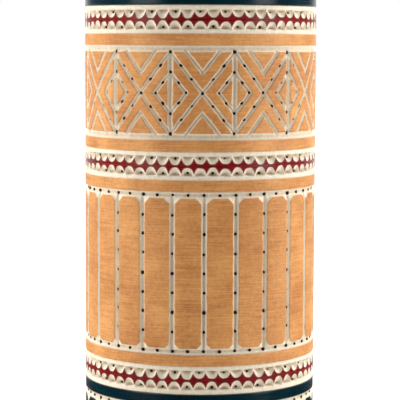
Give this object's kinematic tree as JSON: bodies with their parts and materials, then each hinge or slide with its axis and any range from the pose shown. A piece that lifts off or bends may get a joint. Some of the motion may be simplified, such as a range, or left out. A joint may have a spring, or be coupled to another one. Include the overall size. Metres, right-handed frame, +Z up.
{
  "type": "rainstick",
  "caption": "Wooden rainstick: a turned tube with carved and coloured bands, closed by end plugs, with pins across its bore and seeds that run past them.",
  "frame": {"origin": "middle of the lower end, on which the stick stands", "axes": "+Z up the stick; -Y is the front, from which the carving is set out"},
  "size_m": [0.08, 0.08, 0.4729],
  "materials": {
    "carved_wood": "painted and carved, satin",
    "plug_wood": "turned, oiled",
    "peg_wood": "oiled",
    "pin_wood": "bare, dark",
    "seed": "smooth, dry"
  },
  "bodies": {
    "stick": {"tube": "carved_wood", "lower_plug": "plug_wood", "upper_plug": "plug_wood", "lower_plug_pegs": "peg_wood", "upper_plug_pegs": "peg_wood", "lower_teal_panel_pins": "pin_wood", "lower_tan_panel_pins": "pin_wood", "lower_diamond_pins": "pin_wood", "lower_cross_pins": "pin_wood", "upper_teal_panel_pins": "pin_wood", "upper_tan_panel_pins": "pin_wood", "upper_diamond_pins": "pin_wood", "upper_cross_pins": "pin_wood", "middle_diamond_pins": "pin_wood", "middle_cross_pins": "pin_wood"},
    "heap": {"seed_heap": "seed"},
    "seed_1": {"loose_seed_1": "seed"},
    "seed_2": {"loose_seed_2": "seed"},
    "seed_3": {"loose_seed_3": "seed"},
    "seed_4": {"loose_seed_4": "seed"},
    "seed_5": {"loose_seed_5": "seed"},
    "seed_6": {"loose_seed_6": "seed"}
  },
  "joints": [
    {"name": "heap_shift", "type": "slide", "parent": "stick", "child": "heap", "axis": [0, 0, 1], "range_m": [0, 0.006]},
    {"name": "seed_1_fall", "type": "slide", "parent": "stick", "child": "seed_1", "axis": [0, 0, 1], "range_m": [0, 0.4365]},
    {"name": "seed_2_fall", "type": "slide", "parent": "stick", "child": "seed_2", "axis": [0, 0, 1], "range_m": [0, 0.4365]},
    {"name": "seed_3_fall", "type": "slide", "parent": "stick", "child": "seed_3", "axis": [0, 0, 1], "range_m": [0, 0.4365]},
    {"name": "seed_4_fall", "type": "slide", "parent": "stick", "child": "seed_4", "axis": [0, 0, 1], "range_m": [0, 0.4365]},
    {"name": "seed_5_fall", "type": "slide", "parent": "stick", "child": "seed_5", "axis": [0, 0, 1], "range_m": [0, 0.4365]},
    {"name": "seed_6_fall", "type": "slide", "parent": "stick", "child": "seed_6", "axis": [0, 0, 1], "range_m": [0, 0.4365]}
  ]
}
